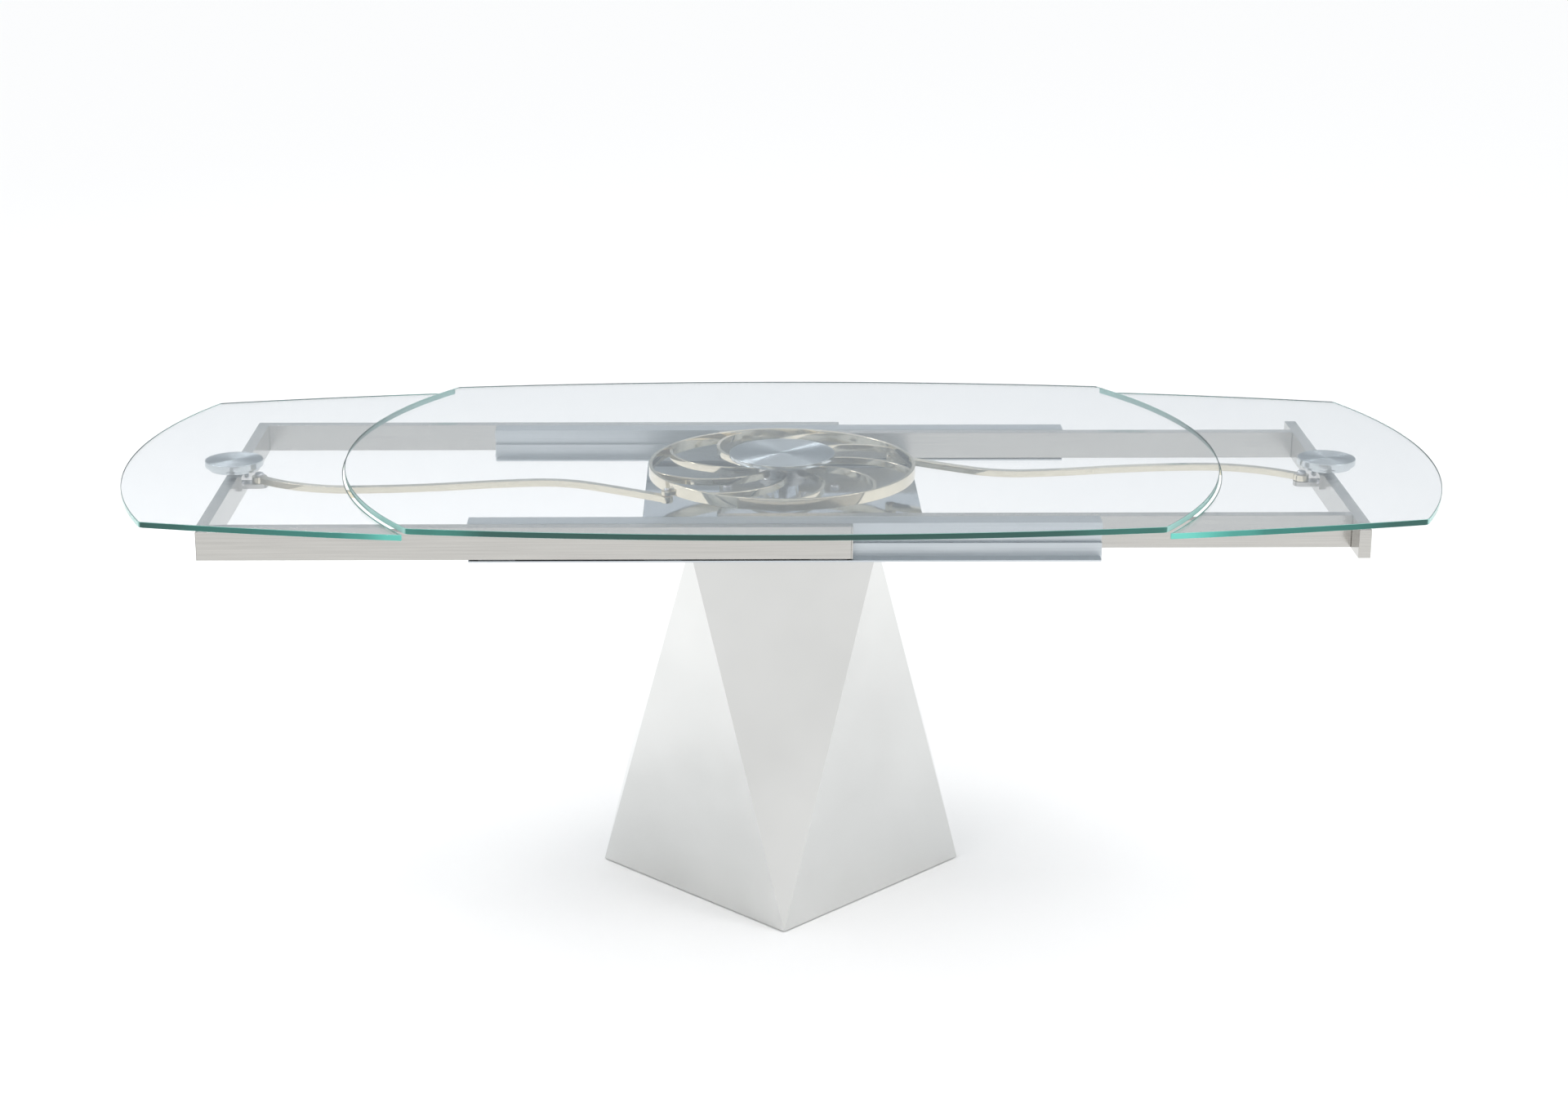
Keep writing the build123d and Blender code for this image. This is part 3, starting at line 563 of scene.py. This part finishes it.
def make_panes():
    corner = end_corner(CENTRE_END_R)
    right_rear, right_front = corner, Vector((corner.x, -corner.y))
    left_rear, left_front = Vector((-corner.x, corner.y)), -corner
    outline = arc_between(right_front, right_rear, CENTRE_END_R, -1)
    outline += arc_between(right_rear, left_rear, LONG_EDGE_R, -1)[1:]
    outline += arc_between(left_rear, left_front, CENTRE_END_R, -1)[1:]
    outline += arc_between(left_front, right_front, LONG_EDGE_R, -1)[1:-1]
    pane("centre_pane", outline, (right_rear, right_front, left_rear, left_front), CENTRE_UNDER,
         "centre_glass", centre_edge)

    seam = end_corner(CENTRE_END_R + SEAM_GAP)
    tip = Vector(LEAF_CORNER)
    for name, side in (("right_leaf", 1), ("left_leaf", -1)):
        inner_rear, outer_rear = side * seam, side * tip
        inner_front = Vector((inner_rear.x, -inner_rear.y))
        outer_front = Vector((outer_rear.x, -outer_rear.y))
        outline = arc_between(outer_front, outer_rear, LEAF_END_R, -1)
        outline += arc_between(outer_rear, inner_rear, LONG_EDGE_R, -1)[1:]
        outline += arc_between(inner_rear, inner_front, CENTRE_END_R + SEAM_GAP, 1)[1:]
        outline += arc_between(inner_front, outer_front, LONG_EDGE_R, -1)[1:-1]
        corners = (inner_rear, inner_front, outer_rear, outer_front)
        pane(f"{name}_pane", outline, corners, LEAF_UNDER, f"{name}_glass", leaf_edge)


make_panes()

BONDED = ("centre_disc", "left_disc", "right_disc")
DISCS = (*BONDED, "left_disc_step", "right_disc_step", "column_flare")
SPOKE_EASE = 0.0008
EASED = {                   # how far each node's edges are cut back
    "base_shell": 0.0020, "mounting_plate": 0.0008, "neck_block": 0.0008,
    "front_rail": 0.0006, "rear_rail": 0.0006, "rail_end_caps": 0.0005,
    "left_front_tube": 0.0015, "left_rear_tube": 0.0015, "left_crossbar": 0.0015,
    "right_front_tube": 0.0015, "right_rear_tube": 0.0015, "right_crossbar": 0.0015,
    "left_tube_plugs": 0.0006, "right_tube_plugs": 0.0006,
    "left_disc": 0.0008, "right_disc": 0.0008, "left_disc_step": 0.0006, "right_disc_step": 0.0006,
    "centre_disc": 0.0008, "column": 0.0005, "column_flare": 0.0004, "thrust_collar": 0.0005,
    "wheel_ring": 0.0008, "wheel_hub": 0.0005, "rim_lugs": 0.0006,
    "left_rod": 0.0010, "right_rod": 0.0010, "left_bracket": 0.0008, "right_bracket": 0.0008,
}
EASED.update({node: SPOKE_EASE for node in cad if node.startswith("spoke_")})
for node, width in EASED.items():
    eased(node, width, bond=GLUE_LINE if node in BONDED else 0.0)

for node, piece in cad.items():
    material = special_finish.get(node, finish[slot_of[node]])
    for slot in piece.material_slots:
        slot.material = material


# -------------------------------------------------------- floor, light, world
WORLD_LOW = (0.97, 0.97, 0.97, 1)
WORLD_HIGH = (1.19, 1.19, 1.19, 1)
WALL_GREY = (0.57, 0.62, 0.66, 1)

# Where each blend starts and ends, by a direction's share along +Z or +Y.
HORIZON = (0.10, 0.60)          # along +Z, from low to high
WALL_HEIGHT = (0.95, 0.45)      # along +Z, from no wall to full wall
WALL_AHEAD = (0.10, 0.80)       # along +Y, from no wall to full wall

FLOOR_RADIUS = 60.0
FLOOR_SEGMENTS = 96
FLOOR_WHITE = (0.91, 0.91, 0.91, 1)
PANE_BOUNCES = 48               # light crosses many faces of glass here
MIRROR_BOUNCES = 12


def make_floor():
    bm = bmesh.new()
    bmesh.ops.create_circle(bm, cap_ends=True, radius=FLOOR_RADIUS, segments=FLOOR_SEGMENTS)
    mesh = bpy.data.meshes.new("floor")
    bm.to_mesh(mesh)
    bm.free()
    shade = Shade("floor")
    shade.put(Base_Color=FLOOR_WHITE, Roughness=0.9, Specular_IOR_Level=0.1)
    mesh.materials.append(shade.material)
    floor = bpy.data.objects.new("floor", mesh)
    bpy.context.scene.collection.objects.link(floor)


def make_lamp(name, at, towards, size, watts):
    data = bpy.data.lights.new(name, "AREA")
    data.shape = "RECTANGLE"
    data.size, data.size_y = size
    data.energy = watts
    lamp = bpy.data.objects.new(name, data)
    lamp.location = at
    lamp.rotation_euler = (Vector(towards) - Vector(at)).to_track_quat("-Z", "Y").to_euler()
    bpy.context.scene.collection.objects.link(lamp)


def make_world():
    """White above, a little darker near the horizon, with a soft grey wall towards +Y for the
    table's metal to reflect."""
    world = bpy.data.worlds.new("studio")
    bpy.context.scene.world = world
    world.use_nodes = True
    tree = world.node_tree

    def add(kind, **settings):
        made = tree.nodes.new(kind)
        for key, value in settings.items():
            setattr(made, key, value)
        return made

    def rise(value, low, high):
        """From 0 at low to 1 at high."""
        made = add("ShaderNodeMapRange")
        tree.links.new(value, made.inputs["Value"])
        made.inputs["From Min"].default_value = low
        made.inputs["From Max"].default_value = high
        return made.outputs[0]

    def blend(factor, a, b):
        made = add("ShaderNodeMix", data_type="RGBA")
        tree.links.new(factor, made.inputs["Factor"])
        for name, value in (("A", a), ("B", b)):
            if isinstance(value, bpy.types.NodeSocket):
                tree.links.new(value, made.inputs[name])
            else:
                made.inputs[name].default_value = value
        return made.outputs["Result"]

    place = add("ShaderNodeTexCoord")
    split = add("ShaderNodeSeparateXYZ")
    tree.links.new(place.outputs["Generated"], split.inputs[0])
    wall = add("ShaderNodeMath", operation="MULTIPLY")
    tree.links.new(rise(split.outputs[1], *WALL_AHEAD), wall.inputs[0])
    tree.links.new(rise(split.outputs[2], *WALL_HEIGHT), wall.inputs[1])
    open_sky = blend(rise(split.outputs[2], *HORIZON), WORLD_LOW, WORLD_HIGH)
    studio = blend(wall.outputs[0], open_sky, WALL_GREY)
    tree.links.new(studio, tree.nodes["Background"].inputs["Color"])


make_floor()
make_world()
make_lamp("key_strip", at=(-2.0, 1.8, 3.7), towards=(0, 0, 0.7), size=(2.6, 0.3), watts=34)
make_lamp("outer_key_strip", at=(-3.2, 1.5, 3.4), towards=(-0.93, 0, 0.7), size=(2.6, 0.3),
          watts=30)
make_lamp("fill_softbox", at=(3.2, -1.6, 3.4), towards=(0.6, -0.2, 0.2), size=(1.8, 1.4),
          watts=46)
make_lamp("front_softbox", at=(-2.4, -3.2, 3.0), towards=(0, 0, 0.7), size=(0.6, 1.2), watts=10)
bpy.context.scene.view_settings.view_transform = "Standard"
bpy.context.scene.cycles.max_bounces = PANE_BOUNCES
bpy.context.scene.cycles.transmission_bounces = PANE_BOUNCES
bpy.context.scene.cycles.glossy_bounces = MIRROR_BOUNCES
